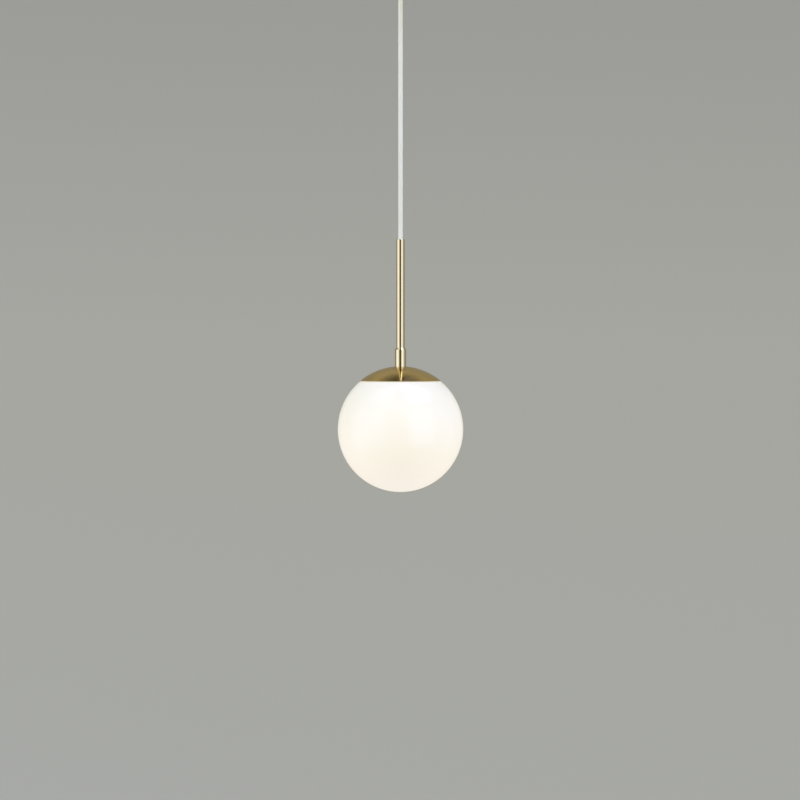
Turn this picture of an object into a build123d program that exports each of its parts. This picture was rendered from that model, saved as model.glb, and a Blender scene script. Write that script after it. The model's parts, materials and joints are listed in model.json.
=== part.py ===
from build123d import *

import os
from math import asin, cos, degrees, radians, sin, sqrt, tan

# Pendant ceiling light: an opal glass globe under a shallow spun brass cap, on a brass stem
# that hangs from a white cord and a ceiling canopy.
#
# Millimetres, +Z up. The origin is on the ceiling plane and on the lamp's axis, so the lamp
# hangs at negative z. The back of the lamp, where its grub screws are, faces +Y.
# The parts round the globe are drawn in the globe's frame, with the globe's centre at zero,
# and are moved down into place when they are written.

# ---- Driving dimensions ----
CORD_DIAMETER = 5.4
CORD_FREE_LENGTH = 300.0
CANOPY_DIAMETER = 100.0
CANOPY_HEIGHT = 45.0
GRIP_LENGTH = 12.0
STEM_DIAMETER = 10.0
STEM_VISIBLE_LENGTH = 129.5
COLLAR_DIAMETER = 13.5
COLLAR_LENGTH = 22.5
GLOBE_DIAMETER = 150.0
GLASS_WALL = 2.2
CAP_OVERHANG = 0.4  # the cap's outside stands this far proud of the glass
CAP_WALL = 0.8
CAP_RIM_RADIUS = 48.4
SWING_LIMIT = 20.0  # degrees, each way about X and about Y
BULB_DIAMETER = 45.0
BULB_LENGTH = 78.0
HOLDER_RADIUS = 14.0

# ---- Clearances and standard sizes ----
RUNNING_GAP = 0.3  # between pieces that move past each other
HAIR_GAP = 0.1  # between a cord and the bore it passes through
M10_RADIUS = 5.0
M10_CLEARANCE_RADIUS = 5.1
M4_RADIUS = 2.0
M3_RADIUS = 1.5
M25_RADIUS = 1.25
CORE_RADIUS = 0.95
CORE_OFFSET = 1.2  # from the cord's axis to a core's
E14_SHELL_RADIUS = 7.2

# ---- Heights in the lamp's frame ----
CORD_RADIUS = CORD_DIAMETER / 2
GRIP_MOUTH = -CANOPY_HEIGHT - GRIP_LENGTH
SWING_PIVOT = GRIP_MOUTH + 5.0
STEM_TOP = GRIP_MOUTH - CORD_FREE_LENGTH
COLLAR_TOP = STEM_TOP - STEM_VISIBLE_LENGTH
CAP_RADIUS = GLOBE_DIAMETER / 2 + CAP_OVERHANG
CAP_INNER_RADIUS = CAP_RADIUS - CAP_WALL
CAP_SEAT_RADIUS = 7.5
CAP_SEAT = sqrt(CAP_RADIUS**2 - CAP_SEAT_RADIUS**2)
GLOBE_CENTRE = COLLAR_TOP - COLLAR_LENGTH - CAP_SEAT
SUPPLY_CORD_END = -27.0
CORD_IN_BUSH = 4.0  # the free cord reaches this far into the stem's bush

# ---- Heights and radii in the globe's frame ----
GLASS_RADIUS = GLOBE_DIAMETER / 2
CAP_RIM = sqrt(CAP_RADIUS**2 - CAP_RIM_RADIUS**2)
CAP_UNDERSIDE = CAP_SEAT - CAP_WALL
SHOULDER = CAP_RIM - RUNNING_GAP  # the glass is cut flat just under the cap's rim
SHOULDER_RADIUS = sqrt(GLASS_RADIUS**2 - SHOULDER**2)
NECK_ROOT_RADIUS = 29.0
NECK_CREST_RADIUS = 30.0
NECK_BORE_RADIUS = 26.0
NECK_TOP = 64.8
NECK_PITCH = 3.2
NECK_TURNS = 1.25
NECK_BEAD_RADIUS = 0.9
CARRIER_BORE_RADIUS = NECK_CREST_RADIUS + 0.25
CARRIER_WALL = 1.5
CARRIER_TOP = 67.0
CARRIER_FLOOR = 65.8
GASKET_THICKNESS = 1.1
WASHER_THICKNESS = 1.0
LOCKNUT_THICKNESS = 3.0
LOCK_WASHER_THICKNESS = 0.8
COLLAR_BOTTOM = CAP_SEAT
STEM_BOTTOM = CAP_SEAT + 11.5
NIPPLE_TOP = STEM_BOTTOM - 0.5
NIPPLE_BOTTOM = 60.5
HOLDER_TOP = CARRIER_FLOOR - LOCK_WASHER_THICKNESS
HOLDER_JOINT = 48.0  # where the holder's dome meets its skirt
HOLDER_MOUTH = 26.0
HOLDER_WALL = 1.2
BLOCK_BOTTOM = 45.5
BLOCK_TOP = 50.0
EYELET_TOP = 44.0
BULB_BOTTOM = EYELET_TOP - BULB_LENGTH
BULB_CAP_BOTTOM = 22.0
BULB_CAP_RADIUS = E14_SHELL_RADIUS - RUNNING_GAP
CORD_SHEATH_END = 61.5

UPRIGHT = (Align.CENTER, Align.CENTER, Align.MIN)


# ---- Helpers ----
def rod(radius, bottom, top, x=0.0, y=0.0):
    """An upright round bar."""
    return Pos(x, y, bottom) * Cylinder(radius, top - bottom, align=UPRIGHT)


def tube(outer, inner, bottom, top):
    """An upright tube or ring on the lamp's axis."""
    return rod(outer, bottom, top) - rod(inner, bottom, top)


def block(size_x, size_y, bottom, top, x=0.0, y=0.0):
    """An upright rectangular bar."""
    return Pos(x, y, bottom) * Box(size_x, size_y, top - bottom, align=UPRIGHT)


def turned(*outline):
    """Turns curves, drawn as (radius, height), once round the lamp's axis."""
    profile = make_face(Curve() + list(outline))
    return revolve(Plane.XZ * profile, Axis.Z)


def turned_polygon(*points):
    """Turns a straight-sided outline of (radius, height) points."""
    return turned(*Polyline(*points, close=True).edges())


def hex_nut(across_flats, bore, bottom, top):
    """A hexagon nut on the lamp's axis, its thread drawn as a plain bore."""
    flats = RegularPolygon(across_flats / 2, 6, major_radius=False)
    return Pos(0, 0, bottom) * extrude(flats, top - bottom) - rod(bore, bottom, top)


def machine_screw(radius, length, head_radius, head_height):
    """A slotted screw: its head stands on the XY plane, its shank goes down from it."""
    head = rod(head_radius, 0, head_height)
    head = fillet(head.edges().group_by(Axis.Z)[-1], head_height * 0.35)
    slot = block(head_radius * 2.2, head_radius * 0.28, head_height * 0.55, head_height * 1.1)
    return head + rod(radius, -length, 0) - slot


def grub_screw(radius, length):
    """A headless screw with a hexagon socket, its outer end on the XY plane."""
    socket = extrude(RegularPolygon(radius * 0.5, 6, major_radius=False), -radius)
    return rod(radius, -length, 0) - socket


def facing(x, y, z, direction):
    """A place whose +Z points along the given direction, for screws and holes."""
    return Plane(origin=(x, y, z), z_dir=direction)


def wire(points, radii, radius=CORE_RADIUS):
    """A round wire along straight runs joined by tangent arcs."""
    path = FilletPolyline(*points, radius=radii)
    return sweep(Plane(origin=path @ 0, z_dir=path % 0) * Circle(radius), path=path)


def core_start(angle, height):
    """Where one of the cord's three cores leaves its sheath, by its angle in degrees from +X."""
    return (CORE_OFFSET * cos(radians(angle)), CORE_OFFSET * sin(radians(angle)), height)


# ---- Ceiling bracket and canopy ----
BRACKET_THICKNESS = 1.5
BRACKET_LENGTH = 96.0
BRACKET_WIDTH = 18.0
BRACKET_TAB = 15.0
CEILING_SLOT_SPACING = 70.0
CEILING_SLOT_LENGTH = 12.0
CEILING_SLOT_WIDTH = 5.0
CABLE_ENTRY_RADIUS = 6.0
SIDE_SCREW_HEIGHT = -8.0
EARTH_SCREW_X = 18.0
CONNECTOR_X = -20.0
CONNECTOR_SIZE = (15.0, 18.0, 12.0)
CONNECTOR_WAYS = (-4.6, 4.6)
INSERT_HEIGHT = -BRACKET_THICKNESS - 6.0
CANOPY_WALL = 1.0
GRIP_SCREW_HEIGHT = -CANOPY_HEIGHT - 2.0


def ceiling_bracket():
    """A steel strip with two slots for ceiling screws and a bent tab at each end."""
    strip = block(BRACKET_LENGTH, BRACKET_WIDTH, -BRACKET_THICKNESS, 0)
    tab_x = (BRACKET_LENGTH - BRACKET_THICKNESS) / 2
    for side in (-1, 1):
        strip += block(BRACKET_THICKNESS, BRACKET_WIDTH - 4, -BRACKET_TAB, 0, x=side * tab_x)
        hole = facing(side * BRACKET_LENGTH / 2, 0, SIDE_SCREW_HEIGHT, (side, 0, 0))
        strip -= hole * rod(M4_RADIUS, -2 * BRACKET_THICKNESS, BRACKET_THICKNESS)
        slot = SlotOverall(CEILING_SLOT_LENGTH, CEILING_SLOT_WIDTH)
        strip -= Pos(side * CEILING_SLOT_SPACING / 2, 0, 0) * extrude(slot, -BRACKET_THICKNESS)
    strip -= rod(CABLE_ENTRY_RADIUS, -BRACKET_THICKNESS, 0)
    strip -= rod(M4_RADIUS, -BRACKET_THICKNESS, 0, x=EARTH_SCREW_X)
    strip -= rod(M3_RADIUS, -BRACKET_THICKNESS, 0, x=CONNECTOR_X)
    return strip


def canopy():
    """A spun brass cup that covers the bracket, open towards the ceiling."""
    radius = CANOPY_DIAMETER / 2
    outside = rod(radius, -CANOPY_HEIGHT, 0)
    outside = fillet(outside.edges().group_by(Axis.Z)[0], 9.0)
    inside = rod(radius - CANOPY_WALL, CANOPY_WALL - CANOPY_HEIGHT, 0)
    inside = fillet(inside.edges().group_by(Axis.Z)[0], 8.0)
    cup = outside - inside - rod(M10_CLEARANCE_RADIUS, -CANOPY_HEIGHT, 0)
    for side in (-1, 1):
        hole = facing(side * radius, 0, SIDE_SCREW_HEIGHT, (side, 0, 0))
        cup -= hole * rod(M4_RADIUS + HAIR_GAP, -4, 1)
    return cup


def canopy_screws():
    """The two screws that hold the canopy to the bracket's tabs."""
    screw = machine_screw(M4_RADIUS, 6.5, 4.0, 2.6)
    sides = [facing(s * CANOPY_DIAMETER / 2, 0, SIDE_SCREW_HEIGHT, (s, 0, 0)) for s in (-1, 1)]
    return Compound([side * screw for side in sides])


def cord_grip():
    """The white gland below the canopy, with a bell mouth that the cord swings in."""
    thread_top = -CANOPY_HEIGHT + 12.0
    pocket_radius = CORD_RADIUS + 0.75
    pocket_top = SWING_PIVOT + CORD_RADIUS + RUNNING_GAP
    widest_tilt = radians(SWING_LIMIT * sqrt(2))
    mouth_depth = SWING_PIVOT - GRIP_MOUTH
    mouth_radius = pocket_radius + mouth_depth * tan(widest_tilt)
    gland = turned_polygon(
        (CORD_RADIUS, thread_top),
        (M10_RADIUS, thread_top),
        (M10_RADIUS, -CANOPY_HEIGHT),
        (8.5, -CANOPY_HEIGHT),
        (8.5, -CANOPY_HEIGHT - 5.0),
        (7.6, GRIP_MOUTH),
        (mouth_radius, GRIP_MOUTH),
        (pocket_radius, SWING_PIVOT),
        (pocket_radius, pocket_top),
        (CORD_RADIUS, pocket_top),
    )
    hole = facing(0, 8.5, GRIP_SCREW_HEIGHT, (0, 1, 0))
    return gland - hole * rod(M3_RADIUS, -8.5 + CORD_RADIUS - 0.3, 1)


def cord_grip_screw():
    """The grub screw at the back of the gland that bites on the cord."""
    return facing(0, 7.6, GRIP_SCREW_HEIGHT, (0, 1, 0)) * grub_screw(M3_RADIUS, 7.6 - CORD_RADIUS)


def cord_grip_nut():
    """The nut inside the canopy that clamps the gland to it."""
    floor = CANOPY_WALL - CANOPY_HEIGHT
    return hex_nut(14.0, M10_RADIUS, floor, floor + LOCKNUT_THICKNESS)


def connector_block():
    """A two-way nylon connector block under the bracket."""
    length, width, height = CONNECTOR_SIZE
    body = block(length, width, -BRACKET_THICKNESS - height, -BRACKET_THICKNESS, x=CONNECTOR_X)
    body = fillet(body.edges().filter_by(Axis.Z), 1.5)
    body -= rod(M3_RADIUS + HAIR_GAP, -50, 0, x=CONNECTOR_X)
    for y in CONNECTOR_WAYS:
        bore = facing(CONNECTOR_X, y, INSERT_HEIGHT, (1, 0, 0))
        body -= bore * rod(2.2, -length, length)
        for x in insert_screw_places():
            body -= rod(1.6, -50, INSERT_HEIGHT, x=x, y=y)
    return body


def insert_screw_places():
    """Where along the connector its four wire screws stand, two for each way."""
    return (CONNECTOR_X - 4.0, CONNECTOR_X + 4.0)


def connector_inserts():
    """The two brass tubes inside the connector block."""
    inserts = []
    for y in CONNECTOR_WAYS:
        bore = facing(CONNECTOR_X, y, INSERT_HEIGHT, (1, 0, 0))
        insert = bore * tube(2.2, 1.3, -6.5, 6.5)
        for x in insert_screw_places():
            insert -= rod(1.0, INSERT_HEIGHT - 3, INSERT_HEIGHT, x=x, y=y)
        inserts.append(insert)
    return Compound(inserts)


def connector_screws():
    """The four screws that hold the wires in the connector."""
    head_height = INSERT_HEIGHT - 2.3
    tip_height = INSERT_HEIGHT - CORE_RADIUS - 0.05
    screw = machine_screw(1.0, tip_height - head_height, 1.5, 2.0)
    places = [(x, y) for x in insert_screw_places() for y in CONNECTOR_WAYS]
    return Compound([facing(x, y, head_height, (0, 0, -1)) * screw for x, y in places])


def connector_fixing_screw():
    """The screw that holds the connector block to the bracket."""
    block_bottom = -BRACKET_THICKNESS - CONNECTOR_SIZE[2]
    place = facing(CONNECTOR_X, 0, block_bottom, (0, 0, -1))
    return place * machine_screw(M3_RADIUS, CONNECTOR_SIZE[2] + BRACKET_THICKNESS, 2.7, 1.8)


def earth_screw():
    """The bracket's earth screw, its head just below the earth core."""
    head_height = -BRACKET_THICKNESS - 2 * CORE_RADIUS - HAIR_GAP
    place = facing(EARTH_SCREW_X, 0, head_height, (0, 0, -1))
    return place * machine_screw(M4_RADIUS, -head_height, 3.6, 2.6)


# ---- Cord ----
def supply_cord():
    """The length of cord held in the gland and inside the canopy."""
    return rod(CORD_RADIUS, SWING_PIVOT + CORD_RADIUS + RUNNING_GAP, SUPPLY_CORD_END)


def supply_core_live():
    """The live core, from the cord's end to the connector."""
    return supply_core(240, CONNECTOR_WAYS[0])


def supply_core_neutral():
    """The neutral core, from the cord's end to the connector."""
    return supply_core(120, CONNECTOR_WAYS[1])


def supply_core(angle, way_y):
    """A core that rises, turns over and enters one way of the connector."""
    start_x, start_y, start_z = core_start(angle, SUPPLY_CORD_END)
    entry_x = CONNECTOR_X + CONNECTOR_SIZE[0] / 2
    points = [
        (start_x, start_y, start_z),
        (start_x, start_y, start_z + 8),
        (entry_x + 6.5, way_y, INSERT_HEIGHT),
        (entry_x - 5, way_y, INSERT_HEIGHT),
    ]
    return wire(points, [4.0, 5.0])


def supply_core_earth():
    """The earth core, from the cord's end to under the earth screw's head."""
    under_head = -BRACKET_THICKNESS - CORE_RADIUS
    points = [
        core_start(0, SUPPLY_CORD_END),
        core_start(0, SUPPLY_CORD_END + 9),
        (9, 0, under_head - 5),
        (EARTH_SCREW_X - M4_RADIUS - 6, 0, under_head),
        (EARTH_SCREW_X - M4_RADIUS - HAIR_GAP, 0, under_head),
    ]
    return wire(points, [5.0, 4.0, 2.5])


def cord_bend():
    """The short flexing piece in the gland's mouth, which the cord swings on."""
    return Pos(0, 0, SWING_PIVOT) * Sphere(CORD_RADIUS)


def cord():
    """The free cord, from the gland's mouth to inside the stem's bush."""
    bar = rod(CORD_RADIUS, STEM_TOP - CORD_IN_BUSH, SWING_PIVOT)
    return bar - Pos(0, 0, SWING_PIVOT) * Sphere(CORD_RADIUS + RUNNING_GAP)


# ---- Stem, in the lamp's frame ----
STEM_BORE_RADIUS = 4.0
BUSH_LENGTH = 10.0
STEM_SCREW_HEIGHT = STEM_TOP - 7.0


def stem_screw_hole():
    """The hole at the back of the stem's top for its grub screw."""
    place = facing(0, M10_RADIUS, STEM_SCREW_HEIGHT, (0, 1, 0))
    return place * rod(M25_RADIUS, CORD_RADIUS - M10_RADIUS, 1)


def stem():
    """The brass tube between the cord and the cap."""
    radius = STEM_DIAMETER / 2
    bar = tube(radius, STEM_BORE_RADIUS, GLOBE_CENTRE + STEM_BOTTOM, STEM_TOP)
    bar = fillet(bar.edges().group_by(Axis.Z)[-1].sort_by(SortBy.RADIUS)[-1], 0.4)
    return bar - stem_screw_hole()


def stem_bush():
    """The nylon bush inside the stem's top that the cord enters."""
    bush = tube(STEM_BORE_RADIUS, CORD_RADIUS + HAIR_GAP, STEM_TOP - BUSH_LENGTH, STEM_TOP)
    return bush - stem_screw_hole()


def stem_screw():
    """The grub screw that clamps the bush and the cord in the stem."""
    place = facing(0, M10_RADIUS, STEM_SCREW_HEIGHT, (0, 1, 0))
    return place * grub_screw(M25_RADIUS, M10_RADIUS - CORD_RADIUS)


def stem_cord():
    """The cord inside the stem, down to where its sheath ends in the lampholder."""
    top = STEM_TOP - CORD_IN_BUSH - RUNNING_GAP
    return rod(CORD_RADIUS, GLOBE_CENTRE + CORD_SHEATH_END, top)


# ---- Collar, cap and their fixings, in the globe's frame ----
COLLAR_SCREW_HEIGHT = COLLAR_BOTTOM + 15.5
COLLAR_SHOULDER = 2.5  # the length of the cone that the collar's top narrows in
COLLAR_LIP = 0.2


def collar():
    """The threaded sleeve that joins the stem to the cap, its top turned to a cone."""
    radius = COLLAR_DIAMETER / 2
    top = COLLAR_BOTTOM + COLLAR_LENGTH
    sleeve = turned_polygon(
        (M10_RADIUS, COLLAR_BOTTOM),
        (radius, COLLAR_BOTTOM),
        (radius, top - COLLAR_SHOULDER),
        (M10_RADIUS + COLLAR_LIP, top),
        (M10_RADIUS, top),
    )
    hole = facing(0, radius, COLLAR_SCREW_HEIGHT, (0, 1, 0))
    return sleeve - hole * rod(M3_RADIUS, M10_RADIUS - radius, 1)


def collar_screw():
    """The grub screw at the back of the collar that locks the stem."""
    radius = COLLAR_DIAMETER / 2
    place = facing(0, radius - 0.1, COLLAR_SCREW_HEIGHT, (0, 1, 0))
    return place * grub_screw(M3_RADIUS, radius - 0.1 - M10_RADIUS)


def nipple():
    """The threaded tube through the cap and the carrier into the lampholder."""
    return tube(M10_RADIUS, 3.5, NIPPLE_BOTTOM, NIPPLE_TOP)


def cap():
    """The spun brass dome, concentric with the globe, with a flat seat for the collar."""
    dome = Sphere(CAP_RADIUS) & block(200, 200, CAP_RIM, CAP_SEAT)
    hollow = Sphere(CAP_INNER_RADIUS) & block(200, 200, 0, CAP_UNDERSIDE)
    return dome - hollow - rod(M10_CLEARANCE_RADIUS, 0, 100)


def cap_washer():
    """The washer under the cap's seat."""
    return tube(7.4, M10_CLEARANCE_RADIUS, CAP_UNDERSIDE - WASHER_THICKNESS, CAP_UNDERSIDE)


LOCKNUT_TOP = CAP_UNDERSIDE - WASHER_THICKNESS
LOCKNUT_BOTTOM = LOCKNUT_TOP - LOCKNUT_THICKNESS


def cap_nut():
    """The nut that clamps the cap up against the collar."""
    return hex_nut(14.0, M10_RADIUS, LOCKNUT_BOTTOM, LOCKNUT_TOP)


def carrier_spacer():
    """The ring that sets the carrier's height below the cap's nut."""
    return tube(8.0, M10_CLEARANCE_RADIUS, CARRIER_TOP, LOCKNUT_BOTTOM)


def globe_carrier():
    """The shallow ring cup that the globe's neck screws into."""
    outer = CARRIER_BORE_RADIUS + CARRIER_WALL
    cup_bottom = SHOULDER + GASKET_THICKNESS + RUNNING_GAP
    cup = tube(outer, CARRIER_BORE_RADIUS, cup_bottom, CARRIER_FLOOR)
    cup += tube(outer, M10_CLEARANCE_RADIUS, CARRIER_FLOOR, CARRIER_TOP)
    for place in PolarLocations(18.0, 4, start_angle=45):
        cup -= place * rod(3.0, CARRIER_FLOOR, CARRIER_TOP)
    return cup


def lock_washer():
    """The toothed washer between the carrier and the lampholder."""
    ring = tube(8.0, M10_CLEARANCE_RADIUS, HOLDER_TOP, CARRIER_FLOOR)
    for place in PolarLocations(8.0, 12):
        ring -= place * block(1.2, 0.9, HOLDER_TOP, CARRIER_FLOOR)
    return ring


# ---- Glass globe and its seals, in the globe's frame ----
def glass_globe():
    """The opal glass ball, with a flat shoulder under the cap and a threaded neck."""
    inner_radius = GLASS_RADIUS - GLASS_WALL
    inner_shoulder = SHOULDER - GLASS_WALL
    inner_shoulder_radius = sqrt(inner_radius**2 - inner_shoulder**2)
    outer_sweep = 90 + degrees(asin(SHOULDER / GLASS_RADIUS))
    inner_sweep = 90 + degrees(asin(inner_shoulder / inner_radius))
    ball = turned(
        CenterArc((0, 0), GLASS_RADIUS, -90, outer_sweep),
        Line((SHOULDER_RADIUS, SHOULDER), (NECK_ROOT_RADIUS, SHOULDER)),
        Line((NECK_ROOT_RADIUS, SHOULDER), (NECK_ROOT_RADIUS, NECK_TOP)),
        Line((NECK_ROOT_RADIUS, NECK_TOP), (NECK_BORE_RADIUS, NECK_TOP)),
        Line((NECK_BORE_RADIUS, NECK_TOP), (NECK_BORE_RADIUS, inner_shoulder)),
        Line((NECK_BORE_RADIUS, inner_shoulder), (inner_shoulder_radius, inner_shoulder)),
        CenterArc((0, 0), inner_radius, -90, inner_sweep),
        Line((0, -inner_radius), (0, -GLASS_RADIUS)),
    )
    return ball + neck_thread()


def neck_thread():
    """The rounded thread moulded on the globe's neck."""
    middle_radius = NECK_CREST_RADIUS - NECK_BEAD_RADIUS
    start_height = SHOULDER + NECK_BEAD_RADIUS + 0.2
    helix = Helix(NECK_PITCH, NECK_PITCH * NECK_TURNS, middle_radius, center=(0, 0, start_height))
    bead = Plane(origin=helix @ 0, z_dir=helix % 0) * Circle(NECK_BEAD_RADIUS)
    thread = sweep(bead, path=helix, is_frenet=True)
    for end in (helix @ 0, helix @ 1):
        thread += Pos(end) * Sphere(NECK_BEAD_RADIUS)
    return thread


def shoulder_gasket():
    """The soft ring on the globe's shoulder, which the carrier closes on."""
    return tube(37.0, NECK_CREST_RADIUS + 0.5, SHOULDER, SHOULDER + GASKET_THICKNESS)


def neck_seal():
    """The soft ring on top of the globe's neck."""
    return tube(29.6, NECK_BORE_RADIUS, NECK_TOP, NECK_TOP + 0.7)


# ---- Lampholder, in the globe's frame ----
HOLDER_SPIGOT_RADIUS = HOLDER_RADIUS - HOLDER_WALL - HAIR_GAP
HOLDER_SPIGOT_TOP = HOLDER_JOINT + 4.0
HOLDER_LEDGE = 1.0
POST_X = 6.5
POST_TOP = BLOCK_TOP + 4.0
POST_HOLE_FLOOR = BLOCK_TOP + 1.0
EARTH_POST_Y = 10.5
EARTH_POST_BOTTOM = HOLDER_SPIGOT_TOP + 0.4


def lampholder_dome():
    """The holder's brass top, which screws on the nipple."""
    inner = HOLDER_RADIUS - HOLDER_WALL
    return turned_polygon(
        (M10_RADIUS, HOLDER_TOP),
        (8.0, HOLDER_TOP),
        (8.0, 62.5),
        (HOLDER_RADIUS, 57.5),
        (HOLDER_RADIUS, HOLDER_JOINT),
        (inner, HOLDER_JOINT),
        (inner, 57.0),
        (7.4, NIPPLE_BOTTOM),
        (M10_RADIUS, NIPPLE_BOTTOM),
    )


def lampholder_skirt():
    """The holder's lower shell, with a ledge for the contact block and a closed mouth."""
    inner = HOLDER_SPIGOT_RADIUS - HOLDER_WALL
    return turned_polygon(
        (HOLDER_RADIUS, HOLDER_MOUTH),
        (HOLDER_RADIUS, HOLDER_JOINT),
        (HOLDER_SPIGOT_RADIUS, HOLDER_JOINT),
        (HOLDER_SPIGOT_RADIUS, HOLDER_SPIGOT_TOP),
        (inner, HOLDER_SPIGOT_TOP),
        (inner, BLOCK_BOTTOM),
        (inner - 2.0, BLOCK_BOTTOM),
        (inner - 2.0, BLOCK_BOTTOM - HOLDER_LEDGE),
        (inner, BLOCK_BOTTOM - HOLDER_LEDGE),
        (inner, HOLDER_MOUTH + HOLDER_WALL),
        (E14_SHELL_RADIUS + 0.6, HOLDER_MOUTH + HOLDER_WALL),
        (E14_SHELL_RADIUS + 0.6, HOLDER_MOUTH),
    )


def contact_block():
    """The ceramic disc that carries the holder's contacts."""
    disc = rod(HOLDER_SPIGOT_RADIUS - HOLDER_WALL - HAIR_GAP, BLOCK_BOTTOM, BLOCK_TOP)
    for x in (-POST_X, POST_X):
        disc -= rod(1.2, BLOCK_BOTTOM, BLOCK_TOP, x=x)
    return disc


def screw_shell():
    """The holder's E14 shell, its thread drawn as a plain tube."""
    return tube(E14_SHELL_RADIUS + 0.4, E14_SHELL_RADIUS, HOLDER_MOUTH + 2.0, BLOCK_BOTTOM)


def centre_contact():
    """The leaf spring that presses on the bulb's eyelet."""
    leaf_bottom = EYELET_TOP + 0.25
    leaf = block(9.0, 3.0, leaf_bottom, leaf_bottom + 0.4)
    return leaf + block(2.0, 3.0, leaf_bottom, BLOCK_BOTTOM, x=-3.5)


def holder_terminals():
    """The holder's two live posts and the earth post on its dome."""
    posts = []
    for x in (-POST_X, POST_X):
        post = block(4.0, 5.0, BLOCK_TOP, POST_TOP, x=x) + rod(1.2, BLOCK_BOTTOM, BLOCK_TOP, x=x)
        post -= rod(1.0, POST_HOLE_FLOOR, POST_TOP, x=x)
        post -= facing(x, -2.5, BLOCK_TOP + 2.0, (0, -1, 0)) * rod(0.8, -1.5, 1)
        posts.append(post)
    top = EARTH_POST_BOTTOM + 4.0
    earth = block(4.0, 4.0, EARTH_POST_BOTTOM, top, y=EARTH_POST_Y)
    earth -= rod(1.0, EARTH_POST_BOTTOM + 1.0, top, y=EARTH_POST_Y)
    posts.append(earth)
    return Compound(posts)


def holder_screws():
    """The two screws of the holder's live posts."""
    screw = machine_screw(0.8, 1.4, 1.5, 1.4)
    places = [facing(x, -2.5, BLOCK_TOP + 2.0, (0, -1, 0)) for x in (-POST_X, POST_X)]
    return Compound([place * screw for place in places])


def holder_core(angle, post_x, post_y, post_floor):
    """A core from the sheath's end, out to one side and down into its post."""
    points = [
        core_start(angle, CORD_SHEATH_END),
        core_start(angle, 58.8),
        (post_x, post_y, 57.1),
        (post_x, post_y, post_floor + 0.2),
    ]
    return wire(points, [1.2, 1.2])


def holder_core_live():
    """The live core, to the post of the centre contact."""
    return holder_core(210, -POST_X, 0, POST_HOLE_FLOOR)


def holder_core_neutral():
    """The neutral core, to the post of the screw shell."""
    return holder_core(330, POST_X, 0, POST_HOLE_FLOOR)


def holder_core_earth():
    """The earth core, to the post on the holder's dome."""
    return holder_core(90, 0, EARTH_POST_Y, EARTH_POST_BOTTOM + 1.0)


# ---- Bulb, in the globe's frame ----
BULB_NECK_RADIUS = 6.2
BULB_FILLET = 12.0
BULB_GLASS = 0.6
INSULATOR_BOTTOM = 41.2
SEAL_HEIGHT = 30.0
MOUNT_TIP = 6.0
BAR_TOP = 3.0
BAR_BOTTOM = -22.0
BAR_CIRCLE = 7.0
WIRE_RADIUS = 0.4


def bulb_curves(wall):
    """The bulb's outline from its lowest point to its neck's end, for a surface set in by wall."""
    centre = BULB_BOTTOM + BULB_DIAMETER / 2
    ball = BULB_DIAMETER / 2 - wall
    neck = BULB_NECK_RADIUS - wall
    bend = BULB_FILLET + wall
    bend_height = sqrt((ball + bend) ** 2 - (neck + bend) ** 2)
    rise = degrees(asin(bend_height / (ball + bend)))
    return [
        CenterArc((0, centre), ball, -90, 90 + rise),
        CenterArc((neck + bend, centre + bend_height), bend, 180, rise),
        Line((neck, centre + bend_height), (neck, SEAL_HEIGHT)),
    ]


def bulb_envelope():
    """The bulb's glass: a ball that runs into a neck through a smooth curve."""
    outer = bulb_curves(0)
    inner = bulb_curves(BULB_GLASS)
    ends = [
        Line((BULB_NECK_RADIUS, SEAL_HEIGHT), (BULB_NECK_RADIUS - BULB_GLASS, SEAL_HEIGHT)),
        Line((0, BULB_BOTTOM), (0, BULB_BOTTOM + BULB_GLASS)),
    ]
    return turned(*outer, *inner, *ends)


def bulb_cap():
    """The bulb's E14 shell, its thread drawn plain."""
    wall = 0.35
    return turned_polygon(
        (BULB_CAP_RADIUS, BULB_CAP_BOTTOM),
        (BULB_CAP_RADIUS, INSULATOR_BOTTOM - 1.0),
        (5.6, INSULATOR_BOTTOM),
        (4.6, INSULATOR_BOTTOM),
        (4.6, INSULATOR_BOTTOM - wall),
        (BULB_CAP_RADIUS - wall, INSULATOR_BOTTOM - 1.0 - wall),
        (BULB_CAP_RADIUS - wall, BULB_CAP_BOTTOM),
    )


def bulb_insulator():
    """The glass ring between the bulb's shell and its eyelet."""
    return turned_polygon(
        (0, INSULATOR_BOTTOM),
        (5.4, INSULATOR_BOTTOM),
        (3.2, EYELET_TOP - 0.8),
        (0, EYELET_TOP - 0.8),
    )


def bulb_eyelet():
    """The bulb's end contact."""
    button = rod(2.4, EYELET_TOP - 0.8, EYELET_TOP)
    return fillet(button.edges().group_by(Axis.Z)[-1], 0.5)


def filament_mount():
    """The glass stem that seals the bulb's neck and carries the filaments."""
    return turned_polygon(
        (0, SEAL_HEIGHT),
        (BULB_NECK_RADIUS - BULB_GLASS, SEAL_HEIGHT),
        (BULB_NECK_RADIUS - BULB_GLASS, SEAL_HEIGHT - 1.5),
        (2.6, SEAL_HEIGHT - 8.0),
        (1.6, MOUNT_TIP),
        (0, MOUNT_TIP),
    )


def filaments():
    """Four upright light bars, with the wire cross and ring that carry them on the mount."""
    frame = rod(WIRE_RADIUS, BAR_TOP, MOUNT_TIP)
    for angle in (45, 135):
        wire_bar = block(2 * BAR_CIRCLE, 2 * WIRE_RADIUS, BAR_TOP, BAR_TOP + WIRE_RADIUS)
        frame += Rot(0, 0, angle) * wire_bar
    ring_top = BAR_BOTTOM + WIRE_RADIUS
    frame += tube(BAR_CIRCLE + WIRE_RADIUS, BAR_CIRCLE - WIRE_RADIUS, BAR_BOTTOM, ring_top)
    for place in PolarLocations(BAR_CIRCLE, 4, start_angle=45):
        frame += place * rod(0.7, BAR_BOTTOM, BAR_TOP + WIRE_RADIUS)
    return frame


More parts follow.
